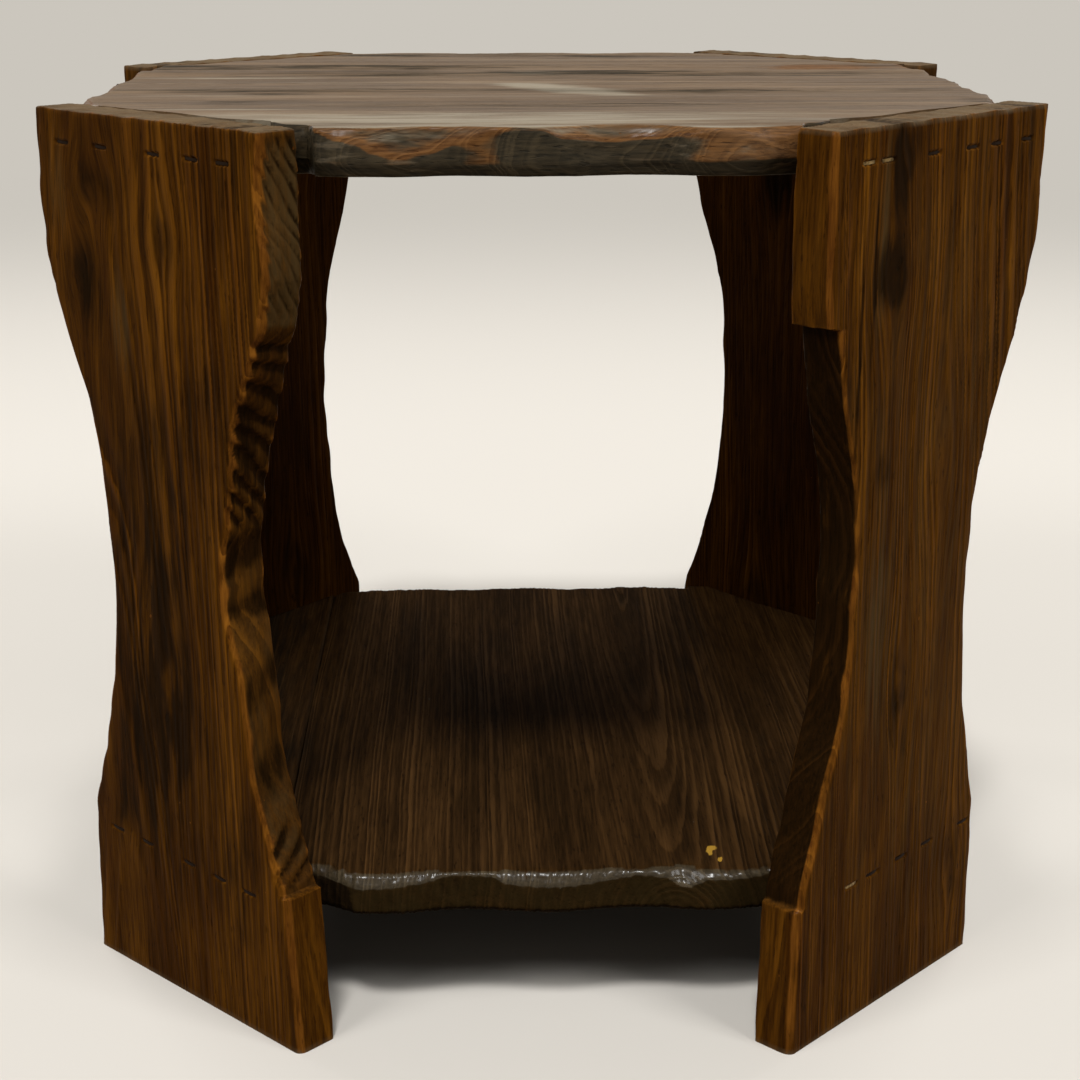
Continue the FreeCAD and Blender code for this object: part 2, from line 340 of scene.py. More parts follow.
                # The rims of the upper bevels are lightened by wear and by a painted highlight.
                beside = np.abs(bevels[side, OUTSIDE] - distances[side]) / self.rim_width
                worn_rim_glint = np.exp(distances[side] / MM - beside).clip(0, 1)
                values["worn"] += worn_rim_glint * self.rim_wear_and_highlight * ease(place, work.get("bevel_worn", self.unmarked))
            masks = {"": on_face, "bevel_": on_bevel.get(OUTSIDE, 0)}
            for prefix, mask in masks.items():
                for label in ("scorch", "worn", "pale_and_sheen"):
                    values[label] += mask * ease(place, work.get(prefix + label, self.unmarked))
            heights = (points[:, 2] - self.plank.middle[2]) / MM
            _, level = tool_marks(place, heights, work, self.seed + side)
            # Hollows of the cuts get painted shade, and their ridges get painted highlight.
            values["scorch"] += on_face * level.clip(0, 1) * self.gouge_scorch
            values["worn"] += on_face * (-level).clip(0, 1) * self.ridge_painted_highlight
        return values

    def mesh(self, name, patches):
        """Mesh of the carved plank, with what its finish needs to know at each point."""
        points, quads = self.settle()
        distances, bevels = self.faces(points)
        made = bpy.data.meshes.new(name)
        made.from_pydata((points @ self.plank.axes).tolist(), [], quads.tolist())
        for label, numbers in self.marks(points, distances, bevels, patches).items():
            made.attributes.new(label, "FLOAT", "POINT").data.foreach_set("value", numbers)
        free = np.ones_like(points)
        for side in self.tight:
            glued = distances[side] > -self.joint_reach
            free -= glued[:, None] * np.abs(self.plank.axes[side // 2])
        grain = points - self.plank.middle * (0, 0, 1)
        grain[:, 0] -= knot_bend(points, patches.get("knots", ()))
        vectors = {"grain": grain, "free": free.clip(0, 1)}
        for label, numbers in vectors.items():
            made.attributes.new(label, "FLOAT_VECTOR", "POINT").data.foreach_set("vector", numbers.ravel())
        made.shade_smooth()
        return made


# A patch has half its strength at the rim of its oval, all of it well inside, and none well outside.
PATCH_MIDDLE, PATCH_FADE = 1.35, 0.85


def patch_strength(points, patches):
    """How strongly each point is marked by oval patches: across, along, half sizes, strength."""
    total = np.zeros(len(points))
    for across, along, half_width, half_length, strength in patches:
        beside = (points[:, 0] / MM - across) / half_width
        above = (points[:, 1] / MM - along) / half_length
        total += strength * np.clip(PATCH_MIDDLE - np.hypot(beside, above) * PATCH_FADE, 0, 1)
    return total


def knot_bend(points, knots):
    """How far the grain is pushed aside round hidden knots: across, along, half sizes, strength below 1."""
    bend = np.zeros(len(points))
    for across, along, half_width, half_length, strength in knots:
        beside = (points[:, 0] / MM - across) / half_width
        above = (points[:, 1] / MM - along) / half_length
        bend += strength * half_width * MM * beside * np.exp(-beside ** 2 - above ** 2)
    return bend


def set_node(tree, kind, sockets=None, **settings):
    """Adds a node, with its settings, and with a value or a link for each named socket."""
    node = tree.nodes.new(kind)
    for name, value in settings.items():
        setattr(node, name, value)
    for name, value in (sockets or {}).items():
        if isinstance(value, bpy.types.NodeSocket):
            tree.links.new(value, node.inputs[name])
        else:
            node.inputs[name].default_value = value
    return node


def math_node(tree, operation, *values):
    """Adds a number node and gives its result."""
    return set_node(tree, "ShaderNodeMath", dict(enumerate(values)), operation=operation).outputs[0]


def vector_node(tree, operation, *values):
    """Adds a vector node and gives its result."""
    node = set_node(tree, "ShaderNodeVectorMath", dict(enumerate(values)), operation=operation)
    return node.outputs["Value" if operation == "LENGTH" else "Vector"]


def scale_vector(tree, vector, factor):
    """Adds a node that lengthens a vector by a factor, and gives its result."""
    sockets = {0: vector, "Scale": factor}
    return set_node(tree, "ShaderNodeVectorMath", sockets, operation="SCALE").outputs["Vector"]


def step_node(tree, value, low, high, low_result=0.0, high_result=1.0):
    """Adds a soft step from one result to another as a value rises from low to high."""
    sockets = {"Value": value, "From Min": low, "From Max": high, "To Min": low_result, "To Max": high_result}
    return set_node(tree, "ShaderNodeMapRange", sockets, interpolation_type="SMOOTHSTEP").outputs["Result"]


def noise_value(tree, place, scale, detail, roughness=0.5, seed=0.0, output="Fac"):
    """Adds noise over a place, with a scale for each direction, and gives its result."""
    sockets = {"Vector": vector_node(tree, "MULTIPLY", place, scale), "Scale": 1.0, "Detail": detail,
               "Roughness": roughness, "W": seed}
    return set_node(tree, "ShaderNodeTexNoise", sockets, noise_dimensions="4D").outputs[output]


# How many times to a metre a pattern in the wood changes, across, along and through a plank.
PATTERN_SCALES = {
    "sway": (9, 2.2, 9), "worked": (26, 5, 26), "ragged": (240, 24, 240), "brushed": (22, 3, 22),
    "pits": (620, 95, 620), "Fibre": (800, 34, 800), "Streak": (180, 8, 180), "Broad": (42, 5, 42),
    "patchy": (60, 22, 60), "nicks": (330, 210, 330), "soot": (20, 7, 20), "smoke": (170, 15, 170),
    "chatter": (240, 240, 240),
}


def late_wood(tree, rings, first, full, fading):
    """Ridge of late wood in each ring: it rises from one share of the year to another, then falls away."""
    part = math_node(tree, "FRACT", rings)
    rise = step_node(tree, part, first, full)
    return math_node(tree, "MULTIPLY", rise, step_node(tree, part, fading, 1.0, 1, 0))


def add_sockets(tree, sockets):
    """Gives a tree its named inputs and outputs, with the inputs' default values."""
    for label, direction, kind, default in sockets:
        socket = tree.interface.new_socket(label, in_out=direction, socket_type=f"NodeSocket{kind}")
        if default is not None:
            socket.default_value = default


def named_attribute(tree, name, data_type="FLOAT"):
    """One of a plank's own attributes, in a geometry tree."""
    node = set_node(tree, "GeometryNodeInputNamedAttribute", {"Name": name}, data_type=data_type)
    return node.outputs["Attribute"]


def end_tree(tree, geometry, finish, output):
    """Ends a geometry tree: instances are made real, the finish is set and the result given out."""
    whole = set_node(tree, "GeometryNodeRealizeInstances", {"Geometry": geometry}).outputs["Geometry"]
    finished = set_node(tree, "GeometryNodeSetMaterial", {"Geometry": whole, "Material": finish})
    set_node(tree, "NodeGroupOutput", {output: finished.outputs["Geometry"]})


# Good and bad years come in runs of about two, and shift the rings by up to this many.
YEAR_RATE, YEAR_SHIFT = 0.55, 2.0


def brushed_plank_tree():
    """Growth rings round a pith, brushed out: the soft early wood lies lower than the hard late wood."""
    tree = bpy.data.node_groups.new("brushed_plank", "GeometryNodeTree")
    add_sockets(tree, (
        ("Plank", "INPUT", "Geometry", None),
        ("Pith", "INPUT", "Vector", (0, 0, 0)),
        ("Pith Lean", "INPUT", "Vector", (0, 0, 0)),
        ("Ring Width", "INPUT", "Float", 0.004),
        ("Ring Sway", "INPUT", "Float", 0.01),
        ("Brushed Depth", "INPUT", "Float", 0.0004),
        ("Seed", "INPUT", "Float", 0.0),
        ("Finish", "INPUT", "Material", None),
        ("Plank", "OUTPUT", "Geometry", None),
    ))
    given = tree.nodes.new("NodeGroupInput").outputs
    grain = named_attribute(tree, "grain", "FLOAT_VECTOR")
    along = set_node(tree, "ShaderNodeSeparateXYZ", {0: grain}).outputs["Y"]
    sway = noise_value(tree, grain, PATTERN_SCALES["sway"], 2.0, 0.45, given["Seed"], "Color")
    sway = vector_node(tree, "SUBTRACT", sway, (0.5, 0.5, 0.5))
    from_pith = vector_node(tree, "SUBTRACT", grain, given["Pith"])
    from_pith = vector_node(tree, "SUBTRACT", from_pith, scale_vector(tree, given["Pith Lean"], along))
    from_pith = vector_node(tree, "ADD", from_pith, scale_vector(tree, sway, given["Ring Sway"]))
    radius = vector_node(tree, "LENGTH", vector_node(tree, "MULTIPLY", from_pith, (1, 0, 1)))
    rings = math_node(tree, "DIVIDE", radius, given["Ring Width"])
    years = {"W": math_node(tree, "MULTIPLY", rings, YEAR_RATE), "Scale": 1.0, "Detail": 1.0}
    years = set_node(tree, "ShaderNodeTexNoise", years, noise_dimensions="1D").outputs["Fac"]
    rings = math_node(tree, "ADD", rings, math_node(tree, "MULTIPLY", years, YEAR_SHIFT))
    stored = set_node(tree, "GeometryNodeStoreNamedAttribute",
                      {"Geometry": given["Plank"], "Name": "rings", "Value": rings}, data_type="FLOAT")
    ridge = late_wood(tree, rings, 0.2, 0.75, 0.85)
    # The brush works unevenly, more where a plank is marked as brushed, and less on hewn faces.
    worked = noise_value(tree, grain, PATTERN_SCALES["worked"], 1.0, seed=given["Seed"])
    worked = step_node(tree, worked, 0.32, 0.62, 0.2, 0.8)
    worked = math_node(tree, "MULTIPLY_ADD", named_attribute(tree, "brushed"), 0.7, worked)
    spared = math_node(tree, "MULTIPLY_ADD", named_attribute(tree, "hewn"), -0.6, 1.0)
    worked = math_node(tree, "MULTIPLY", worked, spared)
    hollow = math_node(tree, "MULTIPLY", math_node(tree, "SUBTRACT", ridge, 1.0), worked)
    hollow = math_node(tree, "MULTIPLY", hollow, given["Brushed Depth"])
    normal = tree.nodes.new("GeometryNodeInputNormal").outputs["Normal"]
    free = named_attribute(tree, "free", "FLOAT_VECTOR")
    offset = vector_node(tree, "MULTIPLY", scale_vector(tree, normal, hollow), free)
    moved = set_node(tree, "GeometryNodeSetPosition",
                     {"Geometry": stored.outputs["Geometry"], "Offset": offset})
    end_tree(tree, moved.outputs["Geometry"], given["Finish"], "Plank")
    return tree


brushed_plank = brushed_plank_tree()
# Faces that meet at more than this angle keep a crisp arris.
CRISP_ARRIS = math.radians(48)


def grow_object(name, mesh, tree, values):
    """Object of a mesh that a node tree has worked on, as a plain mesh in the scene."""
    holder = bpy.data.objects.new(name, mesh)
    bpy.context.scene.collection.objects.link(holder)
    modifier = holder.modifiers.new(tree.name, "NODES")
    modifier.node_group = tree
    for item in tree.interface.items_tree:
        if item.in_out == "INPUT" and item.name in values:
            modifier[item.identifier] = values[item.name]
    graph = bpy.context.evaluated_depsgraph_get()
    grown = bpy.data.meshes.new_from_object(holder.evaluated_get(graph), depsgraph=graph)
    holder.modifiers.remove(modifier)
    grown.set_sharp_from_angle(angle=CRISP_ARRIS)
    holder.data = grown
    grown.name = name
    return holder


def tone(red, green, blue):
    """A colour as it looks on a screen, from 0 to 255, as a linear colour."""
    parts = [part / 255 for part in (red, green, blue)]
    return [part / 12.92 if part < 0.04045 else ((part + 0.055) / 1.055) ** 2.4 for part in parts] + [1.0]


def read_attribute(tree, name, output="Fac"):
    """One of a plank's own attributes, in a material."""
    return set_node(tree, "ShaderNodeAttribute", attribute_name=name).outputs[output]


def shader_group(name, inputs, outputs):
    """Shader group with named numbers as inputs, each with its default value, and as outputs."""
    tree = bpy.data.node_groups.new(name, "ShaderNodeTree")
    add_sockets(tree, [(label, "INPUT", "Float", default) for label, default in inputs.items()])
    add_sockets(tree, [(label, "OUTPUT", "Float", None) for label in outputs])
    return tree, tree.nodes.new("NodeGroupInput").outputs


def grain_group():
    """Late-wood ridges, fine fibre, pits, and narrow and broad streaks of a brushed board."""
    tree, given = shader_group("brushed_grain", {"Seed": 0.0}, ("Ridge", "Fibre", "Pits", "Streak", "Broad"))
    seed = given["Seed"]
    grain = read_attribute(tree, "grain", "Vector")
    ragged = math_node(tree, "SUBTRACT", noise_value(tree, grain, PATTERN_SCALES["ragged"], 3.0), 0.5)
    ragged = math_node(tree, "MULTIPLY", ragged, 0.65)
    rings = math_node(tree, "ADD", read_attribute(tree, "rings"), ragged)
    ridge = late_wood(tree, rings, 0.3, 0.8, 0.88)
    year = math_node(tree, "FLOOR", rings)
    vigour = set_node(tree, "ShaderNodeTexWhiteNoise", {"W": year}, noise_dimensions="1D").outputs["Value"]
    ridge = math_node(tree, "MULTIPLY", ridge, step_node(tree, vigour, 0.0, 1.0, 0.25, 1.0))
    brushed = noise_value(tree, grain, PATTERN_SCALES["brushed"], 2.0, 0.5, seed)
    brushed = step_node(tree, brushed, 0.35, 0.65, 0.3, 1.0)
    brushed = math_node(tree, "MULTIPLY_ADD", read_attribute(tree, "brushed"), 0.6, brushed)
    ridge = math_node(tree, "MULTIPLY", ridge, brushed)
    pits = noise_value(tree, grain, PATTERN_SCALES["pits"], 2.0, 0.6, seed)
    lines = {label: noise_value(tree, grain, PATTERN_SCALES[label], 4.0, 0.62, seed)
             for label in ("Fibre", "Streak", "Broad")}
    set_node(tree, "NodeGroupOutput", {"Ridge": ridge, "Pits": step_node(tree, pits, 0.58, 0.72), **lines})
    return tree


def wear_group():
    """Masks of what tools, torch and years did, and of painted light: rubbed arrises with painted highlights,
    hewn facets, char with painted shade, paler wood with painted sheen, end grain.
    """
    tree, given = shader_group("tool_and_wear_marks", {"Seed": 0.0, "Rubbing": 0.5},
                               ("Rubbed_and_highlit", "Hewn", "Scorched_and_shaded", "Paled_and_sheen", "End", "Chatter"))
    seed = given["Seed"]
    grain = read_attribute(tree, "grain", "Vector")
    patchy = noise_value(tree, grain, PATTERN_SCALES["patchy"], 4.0, 0.65, seed)
    rubbed = math_node(tree, "ADD", patchy, given["Rubbing"])
    rubbed = math_node(tree, "MULTIPLY", read_attribute(tree, "arris"), rubbed)
    # These wear marks include painted highlights on the ridges of cuts and on bevel rims.
    worn = math_node(tree, "MULTIPLY", read_attribute(tree, "worn"), patchy)
    rubbed = math_node(tree, "MULTIPLY_ADD", worn, 1.4, rubbed)
    nicks = noise_value(tree, grain, PATTERN_SCALES["nicks"], 1.0, 0.5, seed)
    rubbed = math_node(tree, "ADD", rubbed, step_node(tree, nicks, 0.76, 0.82))
    # This mask holds char and painted shade.
    burnt_and_shaded = read_attribute(tree, "scorch")
    rubbed = step_node(tree, math_node(tree, "MULTIPLY_ADD", burnt_and_shaded, -0.3, rubbed), 0.45, 0.95)
    soot = noise_value(tree, grain, PATTERN_SCALES["soot"], 3.0, 0.55, seed)
    scorch = math_node(tree, "ADD", burnt_and_shaded, step_node(tree, soot, 0.48, 0.75, 0.0, 0.45))
    smoke = noise_value(tree, grain, PATTERN_SCALES["smoke"], 4.0, 0.6, seed)
    uneven = step_node(tree, smoke, 0.25, 0.75, 0.4, 1.6)
    scorched_and_shaded = step_node(tree, math_node(tree, "MULTIPLY", scorch, uneven), 0.15, 0.8)
    # These lighter marks include painted glints and painted sheen on the top.
    paled_and_sheen = step_node(tree, math_node(tree, "MULTIPLY", read_attribute(tree, "pale_and_sheen"), uneven), 0.1, 0.85)
    hewn = step_node(tree, patchy, 0.3, 0.6, 0.6, 1.0)
    hewn = math_node(tree, "MULTIPLY", read_attribute(tree, "hewn"), hewn)
    end = step_node(tree, patchy, 0.3, 0.6, 0.5, 1.0)
    end = math_node(tree, "MULTIPLY", read_attribute(tree, "end_grain"), end)
    chatter = noise_value(tree, grain, PATTERN_SCALES["chatter"], 5.0, 0.65, seed)
    set_node(tree, "NodeGroupOutput", {"Rubbed_and_highlit": rubbed, "Hewn": hewn, "Scorched_and_shaded": scorched_and_shaded, "Paled_and_sheen": paled_and_sheen,
                                       "End": end, "Chatter": chatter})
    return tree


brushed_grain = grain_group()
tool_and_wear_marks = wear_group()


def mix_colour(tree, share, first, second):
    """Blend of two colours by a share."""
    node = set_node(tree, "ShaderNodeMix", {0: share, 6: first, 7: second}, data_type="RGBA")
    return node.outputs[2]


def new_finish(name):
    """Empty material and its tree."""
    material = bpy.data.materials.new(name)
    material.use_nodes = True
    material.node_tree.nodes.clear()
    return material, material.node_tree


# How much of the wood's own colour each mark, painted shade and painted highlight among them, hides where it
# is full.
MARK_COVER = {"Hewn": 0.45, "End": 0.6, "Paled_and_sheen": 0.6, "Scorched_and_shaded": 0.92, "Rubbed_and_highlit": 0.85}
# Early wood is this much rougher than late wood, and dull parts keep this share of the lacquer.
EARLY_ROUGHER = 0.16
LACQUER_KEPT = 0.1


def wood_finish(name, colours, ring_contrast, rubbing, gloss, shine, lacquer, polish, seed):
    """Charred, brushed and lacquered softwood, with painted shade and painted highlights among its marks.
    Colours are named for what they belong to.
    """
    material, tree = new_finish(name)
    tones = {label: tone(*colour) for label, colour in colours.items()}
    grain = set_node(tree, "ShaderNodeGroup", {"Seed": seed}, node_tree=brushed_grain).outputs
    marks = {"Seed": seed, "Rubbing": rubbing}
    marks = set_node(tree, "ShaderNodeGroup", marks, node_tree=tool_and_wear_marks).outputs
    # Share of late wood at a point, from what the parts of the grain add to it.
    late = -0.9
    for label, share in (("Streak", 0.9), ("Fibre", 1.3), ("Ridge", ring_contrast), ("Pits", -0.35)):
        late = math_node(tree, "MULTIPLY_ADD", grain[label], share, late)
    broad = step_node(tree, grain["Broad"], 0.3, 0.7)
    early_tone = mix_colour(tree, broad, tones["early_dark"], tones["early_light"])
    late_tone = mix_colour(tree, broad, tones["late_dark"], tones["late_light"])
    colour = mix_colour(tree, late, early_tone, late_tone)
    mark_tones = {
        "Hewn": tones["hewn"], "End": tones["end"], "Paled_and_sheen": tones["pale_and_sheen"],
        "Scorched_and_shaded": mix_colour(tree, late, tones["scorch_and_shade_dark"], tones["scorch_and_shade_light"]),
        "Rubbed_and_highlit": mix_colour(tree, late, tones["bare_and_highlight_dark"], tones["bare_and_highlight_light"]),
    }
    for label, cover in MARK_COVER.items():
        share = math_node(tree, "MULTIPLY", marks[label], cover)
        colour = mix_colour(tree, share, colour, mark_tones[label])
    smooth = math_node(tree, "ADD", late, math_node(tree, "MULTIPLY", marks["Rubbed_and_highlit"], 0.3))
    roughness = step_node(tree, smooth, 0.0, 1.0, gloss + EARLY_ROUGHER, gloss)
    height = math_node(tree, "MULTIPLY", math_node(tree, "ADD", grain["Ridge"], grain["Fibre"]), 0.5)
    rough = math_node(tree, "MAXIMUM", marks["Hewn"], marks["End"])
    height = math_node(tree, "ADD", height, math_node(tree, "MULTIPLY", marks["Chatter"], rough))
    height = math_node(tree, "MULTIPLY_ADD", grain["Pits"], -0.5, height)
    bump = set_node(tree, "ShaderNodeBump", {"Strength": 0.7, "Distance": 0.5 * MM, "Height": height})
    # The lacquer is nearly gone from scorched, hewn and rubbed wood, and hands have polished what is rubbed.
    dull = math_node(tree, "ADD", marks["Hewn"], marks["Rubbed_and_highlit"])
    dull = math_node(tree, "ADD", marks["Scorched_and_shaded"], dull)
    coat = step_node(tree, dull, 0.0, 1.0, lacquer, LACQUER_KEPT * lacquer)
    coat = math_node(tree, "MULTIPLY_ADD", marks["Rubbed_and_highlit"], polish, coat)
    surface = set_node(tree, "ShaderNodeBsdfPrincipled", {
        "Base Color": colour, "Roughness": roughness, "Normal": bump.outputs["Normal"],
        "Specular IOR Level": shine, "Coat Weight": coat, "Coat Roughness": 0.2})
    set_node(tree, "ShaderNodeOutputMaterial", {"Surface": surface.outputs["BSDF"]})
    return material


leg_finish = wood_finish("scorched_leg_wood", {
    "early_dark": (33, 15, 1), "early_light": (58, 32, 4),
    "late_dark": (79, 43, 7), "late_light": (121, 76, 17),
    "scorch_and_shade_dark": (17, 9, 2), "scorch_and_shade_light": (40, 23, 7),
    "bare_and_highlight_dark": (84, 47, 12), "bare_and_highlight_light": (146, 92, 28),
    "hewn": (52, 36, 17), "end": (114, 98, 75), "pale_and_sheen": (78, 62, 36),
}, ring_contrast=0.68, rubbing=0.35, gloss=0.42, shine=0.01, lacquer=0.015, polish=0.03, seed=1.0)

# Work on each leg's edges, seen from outside. Places are heights above the foot, and across the head.
LEG_HEIGHT = 508
PLAIN_WEAR = ((0, 0.35), (LEG_HEIGHT, 0.35))
SAWN_HEAD = {"gouges": ((-115, 115, 21, 0.45, 0.2),)}


def plain_edge(pitch, depth, slant, bevel):
    """Edge of a leg with shallow gouge cuts from foot to head and a rubbed outer bevel."""
    return {"gouges": ((0, LEG_HEIGHT, pitch, depth, slant),), "bevel_worn": PLAIN_WEAR, OUTSIDE: bevel}


LEG_WORK = {
    "front_left": {
        LEFT: plain_edge(58, 0.7, 0.5, ((0, 1.5, 2), (260, 3, 3), (508, 1.5, 2))),
        RIGHT: {
            "gouges": ((236, 300, 30, 1.5, 0.3), (132, 236, 46, 1.0, 0.7)),
            "chops": ((410, 508, 11, 1.0, -1.6), (294, 406, 13.5, 1.6, (-1.3, -0.1)),
                      (94, 132, 13, 1.6, 0.8)),
            "cuts": ((0, 0), (92, 0), (93.5, 4), (99, 4), (125, 0), (398, 2.5), (406, 0), (508, 0)),
            "twist": ((210, 0), (241, 6), (260, 6), (305, 0), (320, 0), (356, 6), (398, 0), (440, 0),
                      (475, 4), (505, 0)),
            "scorch": ((0, 0), (236, 0), (300, 0.1), (330, 0.2), (404, 0.3), (410, 0), (508, 0)),
            "pale_and_sheen": ((0, 0), (95, 0), (110, 0.35), (290, 0.2), (320, 0), (405, 0), (412, 0.75), (495, 0.6),
                     (508, 0.1)),
            "plain": ((0, 1), (92, 1), (94, 0), (508, 0)),
            "bevel_worn": ((0, 0.35), (300, 0.3), (398, 0.3), (408, 0.6), (470, 0.7), (508, 0.8)),
            OUTSIDE: ((0, 2, 2.5), (94, 3, 3), (130, 2, 2), (300, 2, 2), (398, 2, 2), (406, 2.5, 4),
                      (430, 2, 3), (470, 1.5, 2.5), (508, 2, 4)),
        },
        FAR_END: SAWN_HEAD,
    },
    "front_right": {
        LEFT: {
            "gouges": ((100, 300, 52, 1.0, 0.4),),
            "cuts": ((0, 0), (86, 0), (88, 3), (100, 3), (150, 0), (300, 0), (345, 3), (385, 7), (407.5, 7.6),
                     (409, 0), (508, 0)),
            # Below the ledge this edge is darkened as painted shade.
            "scorch": ((0, 0), (85, 0), (92, 0.9), (300, 1.0), (406, 1.3), (410, 0), (508, 0)),
            "plain": ((0, 1), (85, 1), (89, 0), (405, 0), (409, 1), (508, 1)),
            "bevel_worn": ((0, 0.4), (300, 0.3), (405, 0.3), (412, 0.5), (508, 0.6)),
            OUTSIDE: ((0, 2, 2.5), (88, 3, 3), (300, 2, 2), (405, 1.5, 1.5), (412, 2, 2), (508, 2, 3)),
        },
        RIGHT: plain_edge(62, 0.7, -0.5, ((0, 1.5, 2), (230, 3, 3), (508, 1.5, 2))),
        FAR_END: SAWN_HEAD,
    },
    "back_right": {
        LEFT: plain_edge(55, 0.7, 0.4, ((0, 2, 2), (240, 4, 4), (508, 2, 2))),
        RIGHT: plain_edge(48, 0.8, 0.6, ((0, 3, 3), (260, 4, 5), (508, 2, 2))),
        FAR_END: SAWN_HEAD,
    },
    "back_left": {
        LEFT: plain_edge(52, 0.8, 0.4, ((0, 3, 3), (240, 4, 5), (508, 2, 2))),
        RIGHT: plain_edge(60, 0.7, 0.6, ((0, 2, 2), (280, 4, 4), (508, 2, 2))),
        FAR_END: SAWN_HEAD,
    },
}
# Rows of points are closest where a front leg's mouth is gouged.
LEG_FINE_ROWS = {"front_left": ((92, 132, 2.4), (296, 408, 2.1), (408, 508, 3.0)),
                 "front_right": ((84, 92, 1.2), (402, 412, 1.0))}
# Ovals on each leg's faces: place across from the middle, height, half sizes and strength.
LEG_MARKS = {
    "front_left": {"scorch": ((-45, 467, 21, 15, 0.55), (-59, 420, 16, 26, 0.5), (12, 448, 14, 20, 0.35),
                              (-10, 290, 60, 110, 0.5), (0, 120, 75, 80, 0.4)),
                   "pale_and_sheen": ((-27, 395, 8, 30, 0.6), (-78, 470, 10, 30, 0.4)),
                   "brushed": ((45, 410, 45, 130, 1.0),),
                   "knots": ((-47, 468, 21, 24, 0.85), (-62, 422, 18, 36, 0.85), (12, 448, 17, 30, 0.75),
                             (-74, 100, 12, 16, 0.8), (-50, 90, 10, 12, 0.7), (-5, 200, 22, 60, 0.7))},
    "front_right": {"scorch": ((-45, 496, 12, 13, 0.85), (-48, 468, 10, 24, 0.7), (-51, 431, 14, 18, 0.95),
                               (-68, 430, 1.5, 45, 1.0), (-78, 400, 1.5, 60, 0.8),
                               (-52, 325, 9, 13, 0.5), (-25, 200, 9, 32, 0.45), (40, 60, 13, 32, 0.4)),
                    "pale_and_sheen": ((0, 250, 130, 330, 0.3), (-50, 250, 9, 60, 0.3), (-62, 455, 4, 40, 0.4)),
                    "worn": ((-92, 450, 4, 50, 0.9), (-33, 430, 3, 40, 0.7)),
                    "brushed": ((-85, 400, 20, 130, 1.2), (60, 430, 40, 90, 1.0)),
                    "knots": ((-50, 431, 19, 42, 0.85), (-46, 488, 12, 28, 0.7), (-25, 200, 15, 48, 0.85),
                              (40, 60, 17, 40, 0.75), (5, 330, 20, 62, 0.75))},
    "back_right": {"scorch": ((20, 430, 14, 40, 0.8), (-30, 250, 13, 34, 0.6), (30, 90, 17, 34, 0.5)),
                   "knots": ((20, 430, 18, 50, 0.8), (-30, 250, 16, 42, 0.75), (30, 90, 20, 42, 0.75))},
    "back_left": {"scorch": ((-35, 450, 18, 20, 0.7), (25, 330, 12, 50, 0.6), (-20, 120, 20, 38, 0.5)),
                  "knots": ((-35, 450, 21, 28, 0.85), (25, 330, 16, 60, 0.8), (-20, 120, 22, 46, 0.75))},
}
# Where the tree's pith passed each leg at its foot, in metres, and how far it leans in a metre of height.
LEG_PITH = {
    "front_left": ((-0.055, 0, -0.06), (0.01, 0, -0.05)),
    "front_right": ((0.13, 0, -0.09), (-0.03, 0, 0.03)),
    "back_right": ((-0.09, 0, -0.08), (0.02, 0, 0.05)),
    "back_left": ((0.05, 0, -0.065), (-0.02, 0, -0.05)),
}
# The head and the foot are sawn square at least this far to each side of the leg's middle.
LEG_SQUARE_END = 40 * MM
LEG_TURNS = {"front_left": -45, "front_right": 45, "back_right": 135, "back_left": 225}
# A staple's crown lies in a dent a little longer and higher than it is.
DENT_MARGIN = 0.25 * MM
DENT_DEPTH = 1.2 * MM
STAPLE_ROWS = ("top", "shelf")


def leg_outward(corner):
    """Direction in which a leg's show face looks."""
    turn = math.radians(LEG_TURNS[corner])
    return math.sin(turn), -math.cos(turn), 0


def staple_crowns(row, corner):
    """Crowns of a row of staples: place across the leg, height, outer face, half length and half height."""
    staples = Plank(f"staples_{row}_{corner}", (0, 0, 1), leg_outward(corner))
    height, half_height = staples.middle[1], (staples.high[1] - staples.low[1]) / 2
    # Each staple has its two legs' four sides, told apart to a hundredth of a millimetre.
    sides = np.unique(staples.points[:, 0].round(5)).reshape(-1, 4)
    return [((first + last) / 2, height, staples.high[2], (last - first) / 2, half_height)
            for first, _, _, last in sides]


LEG_GROWTH = {"Ring Width": 0.0037, "Ring Sway": 0.02, "Brushed Depth": 0.0005, "Finish": leg_finish}
for order, corner in enumerate(LEG_TURNS):
    plank = Plank(f"leg_{corner}", (0, 0, 1), leg_outward(corner))
    dents = [(place, height, half_length + DENT_MARGIN, half_height + DENT_MARGIN, DENT_DEPTH)
             for row in STAPLE_ROWS
             for place, height, _, half_length, half_height in staple_crowns(row, corner)]
    outlines = [plank.outline(LEFT), plank.outline(RIGHT)]
    outlines += [plank.outline(end, -LEG_SQUARE_END, LEG_SQUARE_END) for end in (NEAR_END, FAR_END)]
    carving = Carving(plank, outlines, LEG_WORK[corner], tight=(NEAR_END,), dents=dents,
                      fine=LEG_FINE_ROWS.get(corner, ()), seed=10 * order)
    mesh = carving.mesh(f"leg_blank_{corner}", LEG_MARKS[corner])
    pith, lean = LEG_PITH[corner]
    growth = {**LEG_GROWTH, "Pith": pith, "Pith Lean": lean, "Seed": 3.0 * order}
    leg = grow_object(f"brushed_leg_{corner}", mesh, brushed_plank, growth)
    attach(leg, "root")
    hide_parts(f"leg_{corner}")

# Staples
# Rows of gun staples, driven through the legs into the edges of the top and the shelf. Their crowns lie in
# small dents. Stain and lacquer have darkened them, less so on the front right leg, where some still shine.
STAPLE_WIRE = 1.3 * MM
STAPLE_BOW = 0.5 * MM
STAPLE_SUNK = 0.5 * MM
STAPLE_LENGTH = 20 * MM
STAPLE_CROWN_POINTS = 9
# The most that a staple is tilted, in radians.
STAPLE_TILT = 0.07
